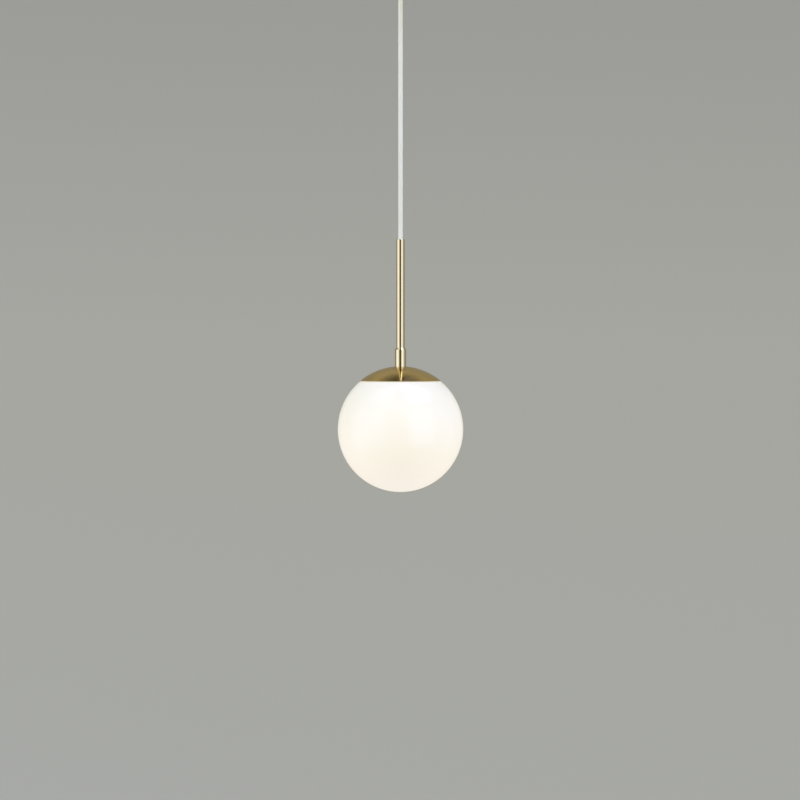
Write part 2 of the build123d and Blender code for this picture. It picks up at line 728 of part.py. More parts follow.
# ---- Writing the parts ----
LAMP_FRAME_PARTS = (
    ceiling_bracket, canopy, canopy_screws, cord_grip, cord_grip_nut, cord_grip_screw,
    connector_block, connector_inserts, connector_screws, connector_fixing_screw, earth_screw,
    supply_cord, supply_core_live, supply_core_neutral, supply_core_earth,
    cord_bend, cord, stem, stem_bush, stem_screw, stem_cord,
)
GLOBE_FRAME_PARTS = (
    collar, collar_screw, nipple, cap, cap_washer, cap_nut, carrier_spacer, globe_carrier,
    lock_washer, glass_globe, shoulder_gasket, neck_seal, lampholder_dome, lampholder_skirt,
    contact_block, screw_shell, centre_contact, holder_terminals, holder_screws,
    holder_core_live, holder_core_neutral, holder_core_earth,
    bulb_envelope, bulb_cap, bulb_insulator, bulb_eyelet, filament_mount, filaments,
)

os.makedirs("parts", exist_ok=True)
for make_part in LAMP_FRAME_PARTS:
    export_step(make_part(), f"parts/{make_part.__name__}.step")
for make_part in GLOBE_FRAME_PARTS:
    export_step(Pos(0, 0, GLOBE_CENTRE) * make_part(), f"parts/{make_part.__name__}.step")
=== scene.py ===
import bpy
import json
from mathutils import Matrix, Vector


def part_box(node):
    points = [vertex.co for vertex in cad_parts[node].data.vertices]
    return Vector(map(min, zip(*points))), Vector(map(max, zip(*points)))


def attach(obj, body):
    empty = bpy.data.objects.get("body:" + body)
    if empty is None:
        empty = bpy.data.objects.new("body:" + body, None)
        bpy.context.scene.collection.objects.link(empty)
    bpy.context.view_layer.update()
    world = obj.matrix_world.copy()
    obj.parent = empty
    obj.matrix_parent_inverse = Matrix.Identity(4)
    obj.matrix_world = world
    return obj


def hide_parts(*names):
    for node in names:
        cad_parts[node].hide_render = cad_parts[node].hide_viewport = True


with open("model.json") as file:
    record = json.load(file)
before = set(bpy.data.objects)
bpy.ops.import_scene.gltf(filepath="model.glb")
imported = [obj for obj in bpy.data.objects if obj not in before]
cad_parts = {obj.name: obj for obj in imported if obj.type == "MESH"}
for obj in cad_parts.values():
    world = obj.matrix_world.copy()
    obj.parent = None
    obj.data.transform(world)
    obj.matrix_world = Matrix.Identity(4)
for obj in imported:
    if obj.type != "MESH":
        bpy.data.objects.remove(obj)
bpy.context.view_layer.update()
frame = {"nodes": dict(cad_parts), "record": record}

import json
from math import asin, cos, degrees, pi, radians, sin, sqrt, tau

import bmesh
import bpy
from mathutils import Vector

# A pendant ceiling light. Everything is in metres in the CAD model's frame: the origin is on
# the ceiling, the lamp's axis is the Z axis, and the lamp hangs at negative heights.

MM = 0.001
AXIS_RADIUS = 0.01 * MM  # a point nearer the axis than this is on it
FINE_ROUND = 192  # faces round the globe, the cap and the canopy
SMALL_ROUND = 64  # faces round a threaded shell
CORD_ROUND = 40
THREAD_HOLE = 5.1 * MM  # the radius of a hole for an M10 thread


# ---- Places and sizes from the frame ----
def bottom(node):
    """The lowest height of a CAD node."""
    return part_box(node)[0].z


def top(node):
    """The highest height of a CAD node."""
    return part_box(node)[1].z


def across(node):
    """A round CAD node's radius, to the nearest tenth of a millimetre."""
    low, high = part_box(node)
    return round((high.x - low.x) / 2, 4)


GLOBE_RADIUS = round(across("glass_globe"), 3)
GLOBE_CENTRE = bottom("glass_globe") + GLOBE_RADIUS
CAP_RIM = bottom("cap")
CAP_SEAT = top("cap")
CAP_RADIUS = sqrt(across("cap") ** 2 + (CAP_RIM - GLOBE_CENTRE) ** 2)
CAP_WALL = 0.8 * MM
CORD_DIAMETER = 2 * across("cord")


# ---- Outlines ----
CUT_SHARE = 0.45  # a rounded corner takes at most this share of each side


def arc(centre_height, radius, start, end, steps):
    """Points of a circle about the axis point at centre_height; angles in degrees, 0 outwards."""
    turns = [radians(start + (end - start) * i / steps) for i in range(steps + 1)]
    return [(radius * cos(t), centre_height + radius * sin(t)) for t in turns]


def stretch(start, end, steps):
    """Evenly spaced points from start to end."""
    return [
        tuple(a + (b - a) * i / steps for a, b in zip(start, end)) for i in range(steps + 1)
    ]


def softened(points, bevel):
    """A line of points with each corner between its ends cut back by at most bevel and rounded."""
    soft = [points[0]]
    for before, corner, after in zip(points, points[1:], points[2:]):
        here = Vector(corner)
        back, ahead = Vector(before) - here, Vector(after) - here
        cut_before = here + back.normalized() * min(bevel, back.length * CUT_SHARE)
        cut_after = here + ahead.normalized() * min(bevel, ahead.length * CUT_SHARE)
        for t in (0.0, 0.25, 0.5, 0.75, 1.0):
            point = cut_before.lerp(here, t).lerp(here.lerp(cut_after, t), t)
            soft.append(tuple(point))
    return soft + [points[-1]]


# ---- Mesh builders ----
SHARP_ANGLE = 32  # edges that turn by more degrees than this stay crisp


def finished(name, bm):
    """A smooth-shaded object from a bmesh, with its sharp edges kept crisp."""
    bmesh.ops.recalc_face_normals(bm, faces=bm.faces)
    mesh = bpy.data.meshes.new(name)
    bm.to_mesh(mesh)
    bm.free()
    mesh.shade_smooth()
    mesh.set_sharp_from_angle(angle=radians(SHARP_ANGLE))
    piece = bpy.data.objects.new(name, mesh)
    bpy.context.scene.collection.objects.link(piece)
    return piece


def turned(name, outline, around, ripple=None):
    """Turns a loop of (radius, height) points, or a line that starts and ends on the axis.
    ripple(angle, height) is added to the radius, as for a thread."""
    bm = bmesh.new()
    rings = []
    for radius, height in outline:
        if radius < AXIS_RADIUS:
            rings.append([bm.verts.new((0.0, 0.0, height))])
            continue
        ring = []
        for i in range(around):
            angle = tau * i / around
            reach = radius + (ripple(angle, height) if ripple else 0.0)
            ring.append(bm.verts.new((reach * cos(angle), reach * sin(angle), height)))
        rings.append(ring)
    on_axis = len(rings[0]) == 1
    pairs = list(zip(rings, rings[1:])) + ([] if on_axis else [(rings[-1], rings[0])])
    for one, other in pairs:
        for i in range(around):
            j = (i + 1) % around
            if len(one) == 1:
                bm.faces.new((one[0], other[i], other[j]))
            elif len(other) == 1:
                bm.faces.new((one[i], other[0], one[j]))
            else:
                bm.faces.new((one[i], other[i], other[j], one[j]))
    return finished(name, bm)


# ---- Material building ----
def add_node(tree, kind, inputs=(), **settings):
    """A node with some settings; inputs maps a socket to a value or to another output."""
    node = tree.nodes.new(kind)
    for name, value in settings.items():
        setattr(node, name, value)
    for socket, value in dict(inputs).items():
        if isinstance(value, bpy.types.NodeSocket):
            tree.links.new(value, node.inputs[socket])
        else:
            node.inputs[socket].default_value = value
    return node


class Look:
    """A material with its shader and a few short ways to add nodes."""

    def __init__(self, name, colour, roughness, metallic=0.0, **constants):
        self.material = bpy.data.materials.new(name)
        self.material.use_nodes = True
        self.tree = self.material.node_tree
        self.shader = self.tree.nodes["Principled BSDF"]
        self.set("Base Color", (*colour, 1.0))
        self.set("Roughness", roughness)
        self.set("Metallic", metallic)
        for socket, value in constants.items():
            self.set(socket.replace("_", " "), value)
        self.colour = (*colour, 1.0)

    def set(self, socket, value):
        """Gives a shader socket a value of its own."""
        self.shader.inputs[socket].default_value = value

    def add(self, kind, inputs=(), **settings):
        """A node in this material."""
        return add_node(self.tree, kind, inputs, **settings)

    def link(self, output, socket):
        """Feeds a shader socket from a node."""
        self.tree.links.new(output, self.shader.inputs[socket])

    def place(self):
        """Object coordinates, which are the CAD frame's at rest."""
        return self.add("ShaderNodeTexCoord").outputs["Object"]

    def noise(self, vector, scale, detail=3.0, roughness=0.55, fourth=None):
        """Noise from 0 to 1, with a fourth coordinate if one is given."""
        inputs = {"Vector": vector, "Scale": scale, "Detail": detail, "Roughness": roughness}
        if fourth is not None:
            inputs["W"] = fourth
        dimensions = "3D" if fourth is None else "4D"
        return self.add("ShaderNodeTexNoise", inputs, noise_dimensions=dimensions).outputs["Fac"]

    def maths(self, operation, first, second=0.0):
        """The result of one Math node."""
        inputs = {0: first, 1: second}
        return self.add("ShaderNodeMath", inputs, operation=operation).outputs[0]

    def ranged(self, value, from_low, from_high, to_low, to_high):
        """A value carried over from one range to another, and held inside it."""
        inputs = {0: value, 1: from_low, 2: from_high, 3: to_low, 4: to_high}
        return self.add("ShaderNodeMapRange", inputs).outputs[0]

    def blend(self, factor, first, second):
        """A mix of two colours."""
        node = self.add("ShaderNodeMix", data_type="RGBA")
        for socket, value in ((0, factor), (6, first), (7, second)):
            if isinstance(value, bpy.types.NodeSocket):
                self.tree.links.new(value, node.inputs[socket])
            else:
                node.inputs[socket].default_value = value
        return node.outputs[2]

    def bump(self, height, distance, strength=1.0):
        """Adds a relief of that depth in metres to the surface."""
        node = self.add("ShaderNodeBump", {"Height": height, "Strength": strength})
        node.inputs["Distance"].default_value = distance
        self.link(node.outputs[0], "Normal")

    def tinted(self, factor, light, dark):
        """Lets the base colour wander between two multiples of itself."""
        first = tuple(min(1.0, c * dark) for c in self.colour[:3]) + (1.0,)
        second = tuple(min(1.0, c * light) for c in self.colour[:3]) + (1.0,)
        self.link(self.blend(factor, first, second), "Base Color")


def around_axis(look):
    """A direction from the axis, the distance from it and the height, at each point."""
    parts = look.add("ShaderNodeSeparateXYZ", {0: look.place()})
    flat = look.add("ShaderNodeCombineXYZ", {0: parts.outputs[0], 1: parts.outputs[1]})
    length = look.add("ShaderNodeVectorMath", {0: flat.outputs[0]}, operation="LENGTH")
    outward = look.add("ShaderNodeVectorMath", {0: flat.outputs[0]}, operation="NORMALIZE")
    return outward.outputs[0], length.outputs["Value"], parts.outputs[2]


FINE_LINE = 0.3 * MM  # the width of a fine brush mark
BROAD_LINE = 3.0 * MM


def spun_brass(name, colour, roughness, anisotropy):
    """Brass brushed in circles round the lamp's axis, under clear lacquer."""
    look = Look(name, colour, roughness, 1.0, Anisotropic=anisotropy, Anisotropic_Rotation=0.25)
    tangent = look.add("ShaderNodeTangent", direction_type="RADIAL", axis="Z")
    look.link(tangent.outputs[0], "Tangent")
    outward, distance, height = around_axis(look)
    across_lines = look.maths("SUBTRACT", distance, height)
    drift = look.add("ShaderNodeVectorMath", {0: outward, "Scale": 0.3}, operation="SCALE")
    fine_step = look.maths("DIVIDE", across_lines, FINE_LINE)
    fine = look.noise(drift.outputs[0], 1.0, 4.0, 0.7, fine_step)
    broad_step = look.maths("DIVIDE", across_lines, BROAD_LINE)
    broad = look.noise(drift.outputs[0], 1.0, 2.0, 0.5, broad_step)
    cloud = look.noise(look.place(), 45.0, 4.0)
    lines = look.maths("ADD", look.maths("MULTIPLY", fine, 0.7), look.maths("MULTIPLY", broad, 0.3))
    look.tinted(look.ranged(look.maths("ADD", lines, cloud), 0.6, 1.4, 0.0, 1.0), 1.12, 0.84)
    look.link(look.ranged(lines, 0.3, 0.7, roughness - 0.04, roughness + 0.06), "Roughness")
    look.bump(fine, 0.006 * MM, 0.35)
    return look.material


def drawn_brass(name, colour, roughness):
    """Brass tube or bar polished lengthwise, with faint long draw marks and small stains."""
    look = Look(name, colour, roughness, 1.0)
    outward, distance, height = around_axis(look)
    marks = look.noise(outward, 7.0, 3.0, 0.6, look.maths("MULTIPLY", height, 14.0))
    stains = look.noise(look.place(), 180.0, 4.0)
    look.tinted(stains, 1.06, 0.93)
    spread = look.maths("MULTIPLY", look.maths("ADD", marks, stains), 0.5)
    look.link(look.ranged(spread, 0.3, 0.7, roughness - 0.03, roughness + 0.05), "Roughness")
    look.bump(marks, 0.004 * MM, 0.3)
    return look.material


def turned_metal(name, colour, roughness, line=0.12 * MM):
    """Plain turned or plated metal with faint tool marks and small stains."""
    look = Look(name, colour, roughness, 1.0)
    outward, distance, height = around_axis(look)
    along = look.maths("DIVIDE", look.maths("SUBTRACT", distance, height), line)
    lines = look.noise(outward, 0.6, 4.0, 0.6, along)
    stains = look.noise(look.place(), 260.0, 5.0, 0.6)
    look.tinted(stains, 1.12, 0.82)
    spread = look.maths("MULTIPLY", look.maths("ADD", lines, stains), 0.5)
    look.link(look.ranged(spread, 0.3, 0.7, roughness - 0.07, roughness + 0.1), "Roughness")
    look.bump(lines, 0.008 * MM, 0.4)
    return look.material


def zinc_plate():
    """Stamped sheet steel with a pale zinc coat: cloudy, with small crystal patches."""
    look = Look("zinc_plate", (0.68, 0.62, 0.50), 0.38, 1.0)
    cells = look.add("ShaderNodeTexVoronoi", {"Vector": look.place(), "Scale": 420.0})
    patches = look.add("ShaderNodeSeparateXYZ", {0: cells.outputs["Color"]}).outputs[0]
    cloud = look.noise(look.place(), 90.0, 4.0)
    both = look.maths("MULTIPLY", look.maths("ADD", patches, cloud), 0.5)
    look.tinted(both, 1.12, 0.74)
    look.link(look.ranged(both, 0.2, 0.8, 0.3, 0.5), "Roughness")
    look.bump(look.noise(look.place(), 1400.0, 3.0), 0.01 * MM, 0.5)
    return look.material


GLOW = 0.56
GLOW_LOW = (1.15, 1.04, 0.94, 1.0)  # the glow's colour at the globe's bottom
GLOW_HIGH = (0.47, 0.44, 0.28, 1.0)  # and at its top, where the room lights it too


def opal_glass():
    """Lit opal glass: a white body that glows, under a clear gloss with a faint blown wave."""
    look = Look("opal_glass", (0.74, 0.72, 0.68), 0.09, IOR=1.5, Specular_IOR_Level=0.35)
    parts = look.add("ShaderNodeSeparateXYZ", {0: look.place()})
    low, high = GLOBE_CENTRE - GLOBE_RADIUS, GLOBE_CENTRE + GLOBE_RADIUS
    rise = look.ranged(parts.outputs[2], low, high, 0.0, 1.0)
    look.link(look.blend(rise, GLOW_LOW, GLOW_HIGH), "Emission Color")
    look.set("Emission Strength", GLOW)
    wave = look.noise(look.place(), 22.0, 1.0)
    look.bump(wave, 0.25 * MM, 0.25)
    seeds = look.noise(look.place(), 900.0, 2.0)
    look.link(look.ranged(seeds, 0.3, 0.7, 0.07, 0.12), "Roughness")
    return look.material


def moulded(name, colour, roughness=0.42, grain=900.0, depth=0.015 * MM, **constants):
    """Moulded plastic, rubber or ceramic: a fine uneven grain and slightly uneven gloss."""
    look = Look(name, colour, roughness, **constants)
    fine = look.noise(look.place(), grain, 4.0)
    broad = look.noise(look.place(), 60.0, 3.0)
    look.tinted(broad, 1.05, 0.93)
    look.link(look.ranged(fine, 0.3, 0.7, roughness - 0.06, roughness + 0.08), "Roughness")
    look.bump(fine, depth, 0.6)
    return look.material


def cord_sheath():
    """White PVC cord: satin, with the faint lengthwise draw marks of its extrusion."""
    look = Look("cord_sheath", (0.98, 0.98, 0.91), 0.42, IOR=1.5)
    outward, distance, height = around_axis(look)
    streaks = look.noise(outward, 9.0, 4.0, 0.6, look.maths("MULTIPLY", height, 12.0))
    grain = look.noise(look.place(), 2200.0, 3.0)
    look.tinted(look.noise(look.place(), 24.0, 3.0), 1.03, 0.95)
    both = look.maths("ADD", streaks, look.maths("MULTIPLY", grain, 0.5))
    look.link(look.ranged(both, 0.5, 1.0, 0.36, 0.5), "Roughness")
    look.bump(both, 0.03 * MM, 0.5)
    return look.material


def two_tone_core():
    """The earth core's green insulation with its yellow stripe."""
    look = Look("core_green", (0.08, 0.34, 0.06), 0.35)
    wave = look.add("ShaderNodeTexWave", {"Vector": look.place(), "Scale": 60.0},
                    wave_type="BANDS", bands_direction="Y")
    stripe = look.ranged(wave.outputs["Fac"], 0.55, 0.6, 0.0, 1.0)
    look.link(look.blend(stripe, look.colour, (0.78, 0.62, 0.03, 1.0)), "Base Color")
    look.bump(look.noise(look.place(), 1500.0), 0.01 * MM, 0.5)
    return look.material


def filament_coat():
    """The yellow phosphor coat on the bulb's light bars, glowing."""
    look = Look("filament_phosphor", (0.9, 0.62, 0.12), 0.6)
    look.tinted(look.noise(look.place(), 1200.0, 3.0), 1.1, 0.8)
    look.set("Emission Color", (1.0, 0.7, 0.35, 1.0))
    look.set("Emission Strength", 1.0)
    look.bump(look.noise(look.place(), 2500.0), 0.03 * MM)
    return look.material


def make_materials():
    """One material for each slot of the record."""
    return {
        "brushed_brass": spun_brass("spun_brass", (0.80, 0.60, 0.27), 0.11, 0.95),
        "brass_tube": drawn_brass("tube_brass", (0.84, 0.635, 0.25), 0.09),
        "brass_turned": turned_metal("brass_turned", (0.76, 0.58, 0.27), 0.3),
        "brass_pressed": turned_metal("brass_pressed", (0.72, 0.56, 0.29), 0.34, 0.3 * MM),
        "zinc_steel": zinc_plate(),
        "nickel": turned_metal("nickel", (0.70, 0.65, 0.54), 0.25),
        "opal_glass": opal_glass(),
        "bulb_glass": moulded("bulb_glass", (0.86, 0.85, 0.82), 0.16, 500.0, 0.004 * MM, IOR=1.5,
                              Emission_Color=(1.0, 0.88, 0.70, 1.0), Emission_Strength=0.55),
        "clear_glass": moulded("clear_glass", (0.82, 0.86, 0.86), 0.08, 400.0, 0.003 * MM,
                               IOR=1.5, Transmission_Weight=0.8),
        "black_glass": moulded("black_glass", (0.015, 0.015, 0.02), 0.15),
        "filament_phosphor": filament_coat(),
        "porcelain": moulded("porcelain", (0.80, 0.79, 0.75), 0.5, 700.0, 0.02 * MM),
        "silicone": moulded("silicone", (0.72, 0.72, 0.70), 0.5, 800.0, 0.01 * MM,
                            Subsurface_Weight=0.15, Subsurface_Scale=0.002),
        "white_nylon": moulded("white_nylon", (0.78, 0.78, 0.75), 0.4, 1400.0),
        "connector_nylon": moulded("connector_nylon", (0.74, 0.72, 0.66), 0.45, 1400.0),
        "white_cord": cord_sheath(),
        "core_brown": moulded("core_brown", (0.16, 0.065, 0.03), 0.35, 1500.0, 0.01 * MM),
        "core_blue": moulded("core_blue", (0.03, 0.12, 0.38), 0.35, 1500.0, 0.01 * MM),
        "core_green": two_tone_core(),
    }


def dress(piece, slot):
    """Gives a new piece the material of that slot and names the slot."""
    piece.data.materials.clear()
    piece.data.materials.append(materials[slot])
    return piece


def dress_cad_nodes():
    """Gives every CAD node the procedural material of its slot."""
    for row in frame["record"]["subparts"]:
        node = frame["nodes"][row["node"]]
        if not node.material_slots:
            node.data.materials.append(None)
        for place in node.material_slots:
            place.link = "OBJECT"
            place.material = materials[row["material_slot"]]


# ---- Camera, light and stage ----
VIEW_CENTRE = GLOBE_CENTRE + 35 * MM
VIEW_ASIDE = -0.6 * MM
VIEW_WIDTH = 957 * MM
CAMERA_DISTANCE = 4.0
CAMERA_ELEVATION = radians(1.2)
SENSOR = 36.0
FLOOR = -2.4
ROOM_RADIUS = 6.5
ROOM_HEIGHT = 5.5
ROOM_THICKNESS = 0.1
ROOM_ROUND = 96  # faces round the room
COVE = 1.6  # the radius of the curve between floor and wall
COVE_STEPS = 16
LAMP_LEVEL = -0.5  # the wall's painted light is brightest up to this height and dims towards the next
HIGH_LEVEL = 1.2
LAMP_LEVEL_PAINTED_LIGHT = 0.325
HIGH_LEVEL_PAINTED_LIGHT = 0.245


def make_camera():
    """A long lens, a little above the level of the cap's rim."""
    data = bpy.data.cameras.new("camera")
    data.sensor_width = SENSOR
    data.lens = SENSOR * CAMERA_DISTANCE / VIEW_WIDTH
    camera = bpy.data.objects.new("camera", data)
    bpy.context.scene.collection.objects.link(camera)
    back = Vector((0, -cos(CAMERA_ELEVATION), sin(CAMERA_ELEVATION)))
    camera.location = Vector((VIEW_ASIDE, 0, VIEW_CENTRE)) + back * CAMERA_DISTANCE
    camera.rotation_euler = (-back).to_track_quat("-Z", "Y").to_euler()
    bpy.context.scene.camera = camera


def make_room():
    """A pale floor that curves up into a round wall, far outside the lamp; its paint glows with
    painted light, brightest up to the lamp's level and dimmer above.
    """
    floor_edge = ROOM_RADIUS - COVE
    cove = [
        (floor_edge + COVE * sin(t), FLOOR + COVE * (1 - cos(t)))
        for t in (pi / 2 * i / COVE_STEPS for i in range(COVE_STEPS + 1))
    ]
    inside = [(0.0, FLOOR), *cove, (ROOM_RADIUS, ROOM_HEIGHT)]
    back, under = ROOM_RADIUS + ROOM_THICKNESS, FLOOR - ROOM_THICKNESS
    outside = [(back, ROOM_HEIGHT), (back, under), (0.0, under)]
    room = turned("room", inside + outside, ROOM_ROUND)
    look = Look("room_paint_and_painted_light", (0.10, 0.10, 0.10), 0.9)
    look.tinted(look.noise(look.place(), 0.6, 4.0), 1.04, 0.96)
    height = look.add("ShaderNodeSeparateXYZ", {0: look.place()}).outputs[2]
    # painted light: the wall glows brightest up to the lamp's level and dimmer higher up
    glow = look.ranged(height, LAMP_LEVEL, HIGH_LEVEL, LAMP_LEVEL_PAINTED_LIGHT, HIGH_LEVEL_PAINTED_LIGHT)
    look.link(glow, "Emission Strength")
    look.set("Emission Color", (1.0, 1.0, 0.87, 1.0))
    look.material.cycles.emission_sampling = "NONE"
    room.data.materials.append(look.material)
    room.visible_glossy = False


# Brightness by the sine of the elevation, for the world.
ROOM_LIGHT = (
    (-1.0, 0.32), (-0.1, 0.27), (0.1, 0.27), (0.5, 0.30), (0.78, 0.38),
    (0.88, 0.22), (0.94, 0.11), (1.0, 0.05),
)
ROOM_TINT = (1.0, 0.95, 0.72)
STRIP_EDGE = (radians(18), radians(26))  # where the dark strip at the camera fades out
STRIP_LIGHT = 0.25
FRONT_TINT = (1.0, 1.2, 2.1)
REAR_TINT = (1.0, 1.1, 1.35)
# Soft light panels, in degrees: azimuth from the camera's side, elevation, half width, half
# height and how far the edge fades each way; then the brightness and the tint.
PANELS = {
    "front_left": (-64, 4, 34, 32, 20, 1.2, FRONT_TINT),
    "front_right": (43, 4, 25, 32, 10, 1.2, FRONT_TINT),
    "side_right": (85, 4, 30, 32, 15, 0.4, FRONT_TINT),
    "upper_left": (-62, 57, 35, 20, 8, 0.8, FRONT_TINT),
    "upper_right": (62, 72, 35, 23, 14, 2.6, FRONT_TINT),
    "rear_left": (-140, 6, 22, 30, 12, 0.3, REAR_TINT),
    "rear_right": (140, 6, 22, 30, 12, 0.26, REAR_TINT),
}


def make_world():
    """What metal and gloss mirror: a dim room, brightest high on its walls, dark straight
    overhead and in the upright strip where the camera stands, and its soft light panels."""
    world = bpy.data.worlds.new("studio")
    bpy.context.scene.world = world
    world.use_nodes = True
    world.cycles.sampling_method = "NONE"
    tree = world.node_tree

    def maths(operation, first, second=0.0):
        inputs = {0: first, 1: second}
        return add_node(tree, "ShaderNodeMath", inputs, operation=operation).outputs[0]

    def vector(operation, inputs):
        return add_node(tree, "ShaderNodeVectorMath", inputs, operation=operation).outputs[0]

    def fade(value, low, high, at_low, at_high):
        inputs = {0: value, 1: low, 2: high, 3: at_low, 4: at_high}
        node = add_node(tree, "ShaderNodeMapRange", inputs, interpolation_type="SMOOTHSTEP")
        return node.outputs[0]

    place = add_node(tree, "ShaderNodeTexCoord").outputs["Generated"]
    x, y, z = add_node(tree, "ShaderNodeSeparateXYZ", {0: place}).outputs
    azimuth = maths("ARCTAN2", x, maths("MULTIPLY", y, -1.0))
    elevation = maths("ARCSINE", z)

    rise = maths("ADD", maths("MULTIPLY", z, 0.5), 0.5)
    ramp = add_node(tree, "ShaderNodeValToRGB", {0: rise})
    while len(ramp.color_ramp.elements) < len(ROOM_LIGHT):
        ramp.color_ramp.elements.new(0.5)
    for element, (sine, brightness) in zip(ramp.color_ramp.elements, ROOM_LIGHT):
        element.position = (sine + 1) / 2
        element.color = (*(brightness * tint for tint in ROOM_TINT), 1.0)
    strip = fade(maths("ABSOLUTE", azimuth), *STRIP_EDGE, STRIP_LIGHT, 1.0)
    light = vector("SCALE", {0: ramp.outputs[0], "Scale": strip})

    for aside, upward, half_width, half_height, edge, brightness, tint in PANELS.values():
        along = maths("PINGPONG", maths("SUBTRACT", azimuth, radians(aside)), pi)
        above = maths("ABSOLUTE", maths("SUBTRACT", elevation, radians(upward)))
        factor = maths(
            "MULTIPLY",
            fade(along, radians(half_width - edge), radians(half_width + edge), brightness, 0.0),
            fade(above, radians(half_height - edge), radians(half_height + edge), 1.0, 0.0),
        )
        panel = vector("SCALE", {0: tint, "Scale": factor})
        light = vector("MAXIMUM", {0: light, 1: panel})
    tree.links.new(light, tree.nodes["Background"].inputs["Color"])


FILL_DISTANCE = 3.0
FILL_COLOUR = (1.0, 1.0, 0.91)


def fill_light(name, azimuth, elevation, width, height, brightness):
    """A soft light aimed at the lamp that nothing mirrors; azimuth 0 is the camera's side."""
    data = bpy.data.lights.new(name, "AREA")
    data.shape = "RECTANGLE"
    data.size, data.size_y = width, height
    data.color = FILL_COLOUR
    data.energy = brightness * pi * width * height
    light = bpy.data.objects.new(name, data)
    bpy.context.scene.collection.objects.link(light)
    a, e = radians(azimuth), radians(elevation)
    away = Vector((sin(a) * cos(e), -cos(a) * cos(e), sin(e)))
    light.location = Vector((0, 0, VIEW_CENTRE)) + away * FILL_DISTANCE
    light.rotation_euler = away.to_track_quat("Z", "Y").to_euler()
    light.visible_camera = False
    light.visible_glossy = False


def make_lights():
    """Soft fill from both sides of the camera and from behind."""
    fill_light("fill_left", -56, 25, 2.0, 2.0, 3.1)
    fill_light("fill_right", 58, 20, 2.0, 2.0, 2.65)
    fill_light("fill_rear", 180, 15, 2.5, 2.0, 2.0)


# ---- The globe and its cap ----
NECK_TOP = top("glass_globe")
SHOULDER = bottom("shoulder_gasket") - 0.02 * MM  # a hair below, so that they never cross
NECK_BORE = 26.0 * MM
NECK_ROOT = 29.0 * MM
NECK_PITCH = 3.2 * MM
NECK_TURNS = 1.25
NECK_BEAD = 0.9 * MM
GLASS_WALL = 2.2 * MM


def neck_bead(angle, height):
    """How far the neck's rounded right-hand thread stands out at that point."""
    start = SHOULDER + 1.1 * MM
    best = 0.0
    for lap in range(2):
        turn = angle + tau * lap
        if turn > tau * NECK_TURNS:
            continue
        offset = (height - start - NECK_PITCH * turn / tau) / NECK_BEAD
        fade = min(1.0, turn / 0.25, (tau * NECK_TURNS - turn) / 0.25)
        best = max(best, fade * NECK_BEAD * sqrt(max(0.0, 1 - offset * offset)))
    return best


def make_globe():
    """The opal glass ball with its shoulder, threaded neck and hollow inside."""
    shoulder_angle = degrees(asin((SHOULDER - GLOBE_CENTRE) / GLOBE_RADIUS))
    outer = arc(GLOBE_CENTRE, GLOBE_RADIUS, -90, shoulder_angle, 84)
    inner_radius = GLOBE_RADIUS - GLASS_WALL
    inner_shoulder = SHOULDER - GLASS_WALL
    inner_angle = degrees(asin((inner_shoulder - GLOBE_CENTRE) / inner_radius))
    inner = arc(GLOBE_CENTRE, inner_radius, inner_angle, -90, 60)
    shoulder = softened([outer[-2], outer[-1], (NECK_ROOT + 1 * MM, SHOULDER)], 1.5 * MM)
    neck = stretch((NECK_ROOT, SHOULDER + 0.05 * MM), (NECK_ROOT, NECK_TOP - 0.4 * MM), 40)
    mouth = [(NECK_ROOT - 0.3 * MM, NECK_TOP), (NECK_BORE + 0.4 * MM, NECK_TOP)]
    bore = [(NECK_BORE, NECK_TOP - 0.4 * MM), (NECK_BORE, inner_shoulder + 0.6 * MM)]
    inside = [(NECK_BORE + 0.6 * MM, inner_shoulder)]
    outline = outer[:-2] + shoulder[1:-1] + [(NECK_ROOT + 0.5 * MM, SHOULDER)]
    outline += neck + mouth + bore + inside + inner
    lowest, highest = neck[0][1], neck[-1][1]

    def thread(angle, height):
        outside = lowest < height < highest
        return neck_bead(angle, height) if outside else 0.0

    globe = turned("globe", outline, FINE_ROUND, thread)
    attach(dress(globe, "opal_glass"), "globe")
    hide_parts("glass_globe")


def make_cap():
    """The spun dome with a small bevelled edge at its rim and a flat seat for the collar."""
    inner_radius = CAP_RADIUS - CAP_WALL
    rise = CAP_RIM - GLOBE_CENTRE
    rim_angle = degrees(asin(rise / CAP_RADIUS))
    seat_angle = degrees(asin((CAP_SEAT - GLOBE_CENTRE) / CAP_RADIUS))
    inner_rim = degrees(asin(rise / inner_radius))
    outer = arc(GLOBE_CENTRE, CAP_RADIUS, rim_angle + 0.2, seat_angle, 48)
    inner = arc(GLOBE_CENTRE, inner_radius, seat_angle, inner_rim + 0.2, 48)
    seat = [(THREAD_HOLE, CAP_SEAT), (THREAD_HOLE, CAP_SEAT - CAP_WALL)]
    edge_in = (inner[-1][0] + 0.2 * MM, CAP_RIM)
    edge_out = (outer[0][0] - 0.1 * MM, CAP_RIM)
    cap = turned("cap_dome", outer + seat + inner + [edge_in, edge_out], FINE_ROUND)
    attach(dress(cap, "brushed_brass"), "pendant")
    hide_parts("cap")


# ---- The cord ----
def cord_route():
    """The cord's route, read from a smooth curve through its few points."""
    start, end = top("cord"), bottom("cord")
    stretch_in = 6 * CORD_DIAMETER
    heights = (start, start - stretch_in, end + stretch_in, end)
    data = bpy.data.curves.new("route", "CURVE")
    data.dimensions = "3D"
    data.resolution_u = 24
    spline = data.splines.new("NURBS")
    spline.points.add(len(heights) - 1)
    for point, height in zip(spline.points, heights):
        point.co = (0, 0, height, 1)
    spline.order_u = 3
    spline.use_endpoint_u = True
    route = bpy.data.objects.new("route", data)
    mesh = bpy.data.meshes.new_from_object(route)
    points = [v.co.copy() for v in mesh.vertices]
    bpy.data.objects.remove(route)
    bpy.data.meshes.remove(mesh)
    return points


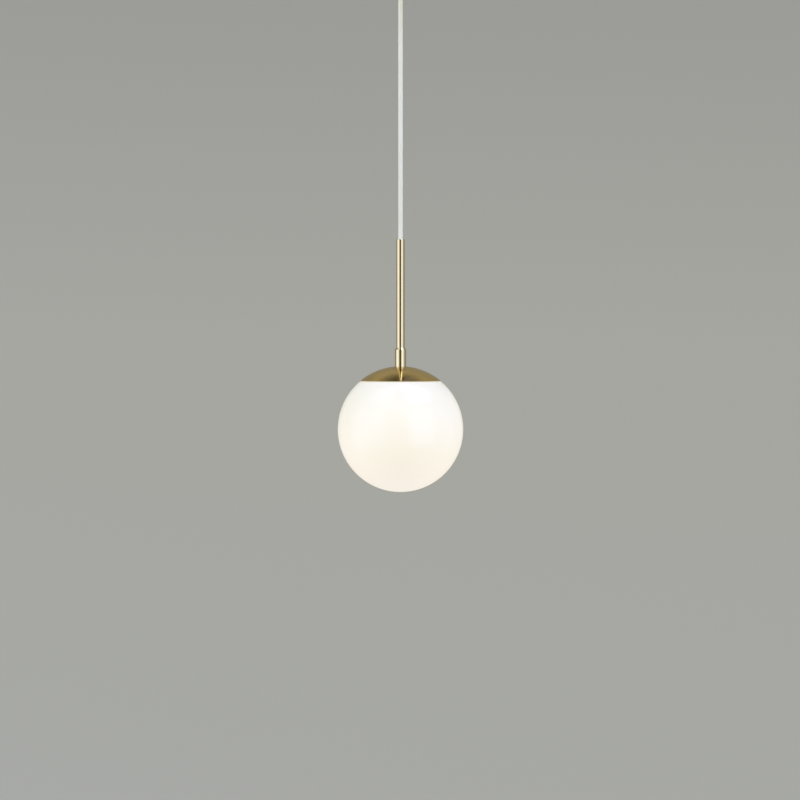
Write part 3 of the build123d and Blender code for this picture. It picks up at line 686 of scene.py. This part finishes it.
def make_cord():
    """The free cord: a round sheath that shows its three twisted cores very faintly."""
    points = cord_route()
    radius = CORD_DIAMETER / 2
    lay_length = 48 * MM

    def cores(angle, height):
        return 0.02 * MM * cos(3 * angle - tau * height / lay_length)

    start, end = points[0].z, points[-1].z
    side = stretch((radius, start - 0.6 * MM), (radius, end + 0.3 * MM), 240)
    line = [(0.0, start), (radius * 0.7, start), *side, (radius * 0.8, end), (0.0, end)]
    cord = turned("hanging_cord", line, CORD_ROUND, cores)
    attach(dress(cord, "white_cord"), "cord")
    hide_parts("cord")


# ---- The canopy ----
def make_canopy():
    """The spun brass cup with a rounded bottom edge and a rim with small bevelled edges."""
    radius, height = across("canopy"), bottom("canopy")
    wall = 1.0 * MM
    bend = 9.0 * MM
    steps = 14

    def bent(reach):
        turns = [pi / 2 * i / steps for i in range(steps + 1)]
        return [(radius - bend + reach * sin(t), height + bend - reach * cos(t)) for t in turns]

    rim = [(radius, -0.25 * MM), (radius - 0.25 * MM, 0.0),
           (radius - wall + 0.25 * MM, 0.0), (radius - wall, -0.25 * MM)]
    outer, inner = bent(bend), bent(bend - wall)[::-1]
    outline = [(THREAD_HOLE, height), *outer, *rim, *inner, (THREAD_HOLE, height + wall)]
    canopy = turned("canopy_cup", outline, FINE_ROUND)
    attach(dress(canopy, "brushed_brass"), "ceiling")
    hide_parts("canopy")


# ---- The bulb's threads ----
E14_PITCH = 2.82 * MM


def e14_thread(depth, lowest, highest):
    """A rounded right-hand E14 thread of that depth between two heights."""
    def ripple(angle, height):
        if not lowest < height < highest:
            return 0.0
        fade = min(1.0, (height - lowest) / MM, (highest - height) / MM)
        return -depth * fade * (0.5 - 0.5 * cos(tau * height / E14_PITCH - angle))
    return ripple


def make_bulb_cap():
    """The bulb's thin threaded shell."""
    radius, low, high = across("bulb_cap"), bottom("bulb_cap"), top("bulb_cap")
    wall = 0.35 * MM
    outer = stretch((radius, low), (radius, high - 1.0 * MM), 90)
    inner = stretch((radius - wall, high - 1.2 * MM), (radius - wall, low), 90)
    crown = [(5.6 * MM, high), (4.6 * MM, high), (4.6 * MM, high - wall)]
    thread = e14_thread(0.75 * MM, low + 4 * MM, high - 2 * MM)
    cap = turned("bulb_thread", outer + crown + inner, SMALL_ROUND, thread)
    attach(dress(cap, "nickel"), "bulb")
    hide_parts("bulb_cap")


def make_screw_shell():
    """The lampholder's thin threaded shell, which the bulb's cap turns in."""
    inner, low, high = 7.2 * MM, bottom("screw_shell"), top("screw_shell")
    wall = 0.4 * MM
    outside = stretch((inner + wall, low), (inner + wall, high), 90)
    inside = stretch((inner, high), (inner, low), 90)
    thread = e14_thread(-0.6 * MM, low + 0.5 * MM, high - 5 * MM)
    shell = turned("holder_thread", outside + inside, SMALL_ROUND, thread)
    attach(dress(shell, "brass_turned"), "pendant")
    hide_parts("screw_shell")


make_camera()
make_room()
make_world()
make_lights()
materials = make_materials()
dress_cad_nodes()
make_cord()
make_globe()
make_cap()
make_canopy()
make_bulb_cap()
make_screw_shell()
bpy.context.scene.view_settings.view_transform = "Standard"
